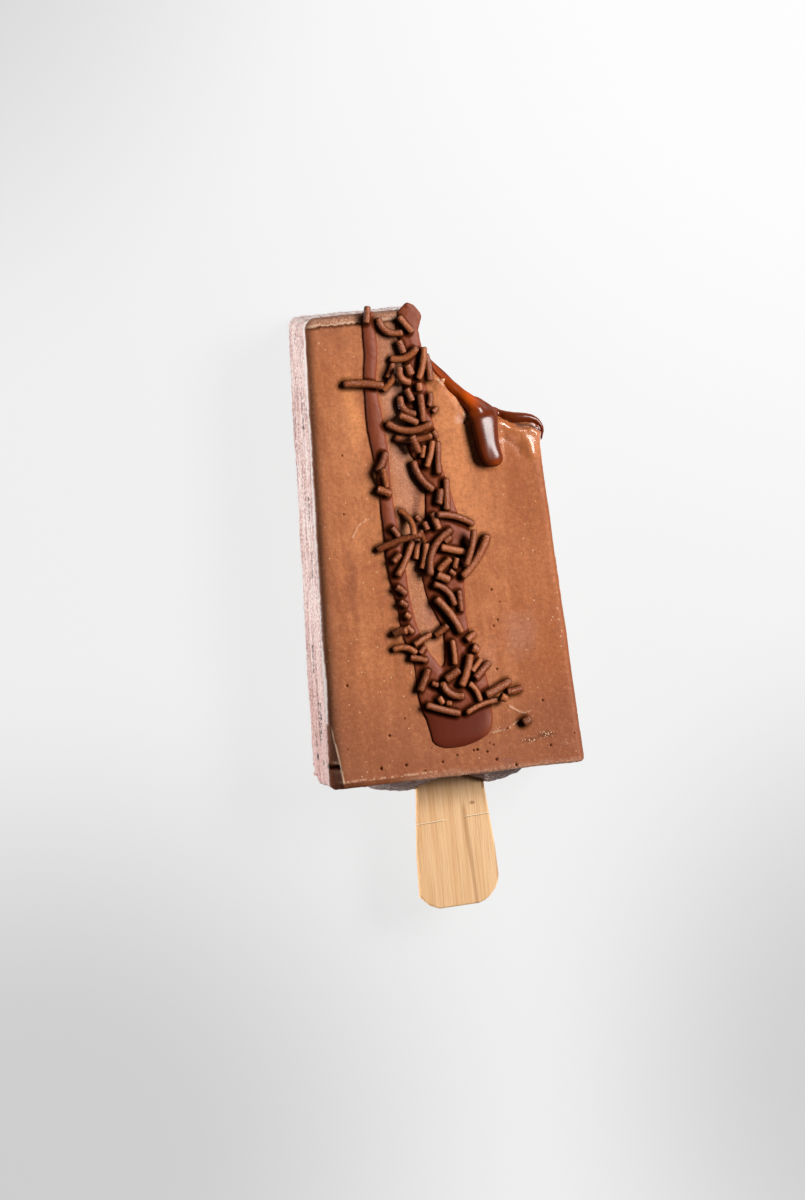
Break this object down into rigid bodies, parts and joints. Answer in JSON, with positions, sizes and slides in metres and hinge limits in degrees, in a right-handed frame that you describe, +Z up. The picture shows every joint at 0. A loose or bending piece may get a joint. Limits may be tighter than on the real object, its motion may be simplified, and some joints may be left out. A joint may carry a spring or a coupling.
{
  "type": "ice cream bar",
  "caption": "Chocolate ice cream bar on a flat wooden stick, bitten at a corner, with a caramel filling that drips and chocolate drizzle on its face.",
  "frame": {"origin": "on the surface the bar lies on, under the middle of the slab's width and halfway along its length", "axes": "+X to the right across the front face, +Y from the stick towards the tip, +Z up out of the front face"},
  "size_m": [0.0556, 0.1314, 0.0261],
  "materials": {
    "chocolate_ice_cream": "frozen chocolate ice cream, satin front face, frosted sides",
    "caramel": "glossy dark caramel sauce",
    "milk_chocolate": "set milk chocolate drizzle, satin",
    "birch_wood": "plain pale birch, lengthwise grain"
  },
  "bodies": {
    "root": {"ice_cream": "chocolate_ice_cream", "caramel_filling": "caramel", "chocolate_drizzle": "milk_chocolate", "stick": "birch_wood"}
  },
  "joints": []
}
